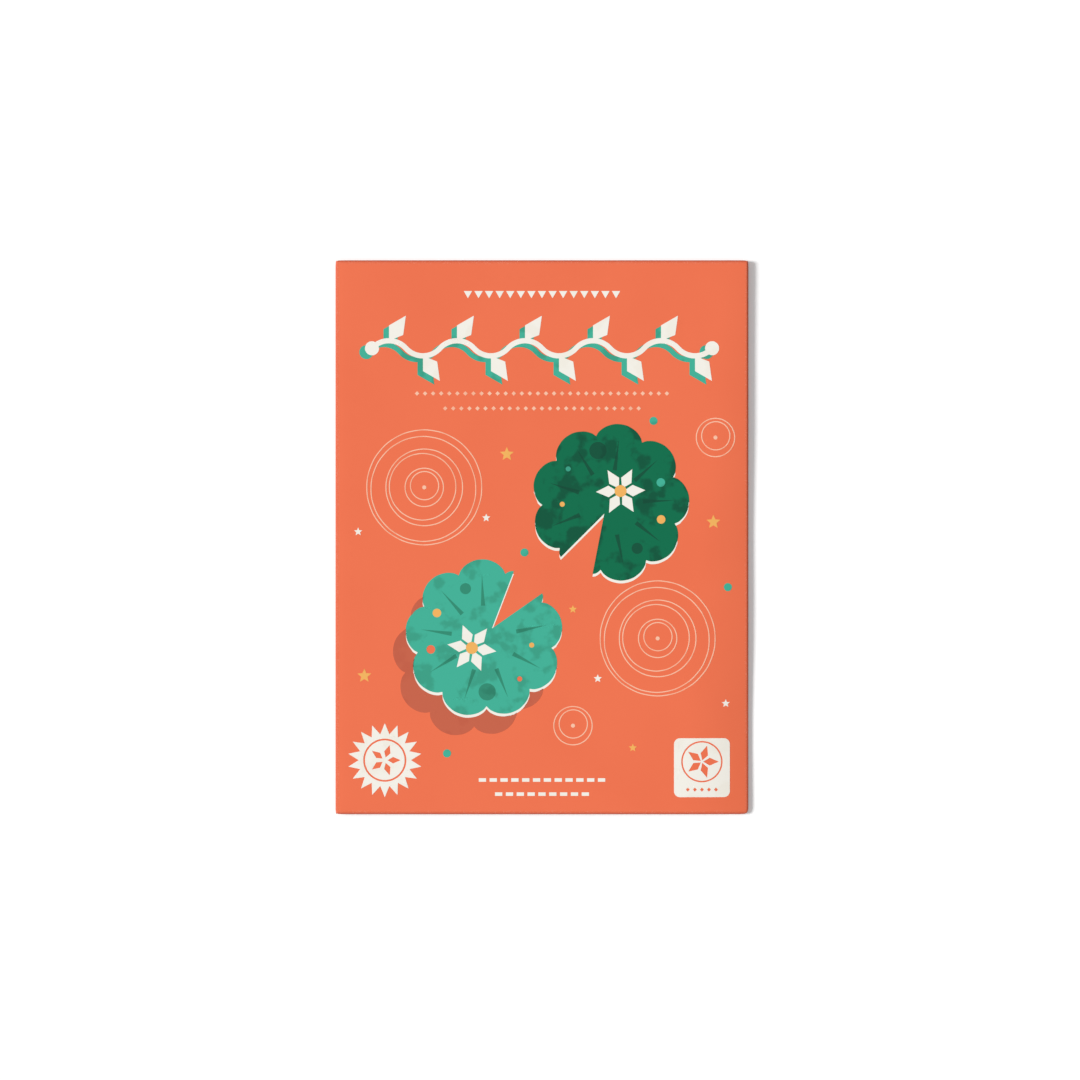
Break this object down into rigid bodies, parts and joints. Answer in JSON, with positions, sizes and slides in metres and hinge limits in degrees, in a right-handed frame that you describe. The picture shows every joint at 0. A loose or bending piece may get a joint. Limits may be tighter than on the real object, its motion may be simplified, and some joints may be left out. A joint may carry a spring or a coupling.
{
  "type": "sealed card craft kit packet",
  "caption": "Flat sealed card packet of a paper folding kit, with a lapped and glued back and a printed front of water leaves, ripples and a garland.",
  "frame": {"origin": "under the middle of the packet, on the plane of the glued flaps that it lies on", "axes": "+X to the packet's right, +Y to its top edge, +Z out of its printed front"},
  "size_m": [0.164, 0.22, 0.0037],
  "materials": {
    "coral_card": "smooth matt coated card",
    "cream_print": "matt printing ink",
    "peach_print": "matt printing ink",
    "mint_print": "matt printing ink",
    "mint_shade_print": "matt printing ink",
    "green_print": "matt printing ink",
    "green_shade_print": "matt printing ink",
    "amber_print": "matt printing ink",
    "coral_shade_print": "matt printing ink"
  },
  "bodies": {
    "root": {"sealed_packet": "coral_card", "cream_ink": "cream_print", "peach_ink": "peach_print", "mint_ink": "mint_print", "mint_shade_ink": "mint_shade_print", "green_ink": "green_print", "green_shade_ink": "green_shade_print", "amber_ink": "amber_print", "coral_shade_ink": "coral_shade_print"}
  },
  "joints": []
}
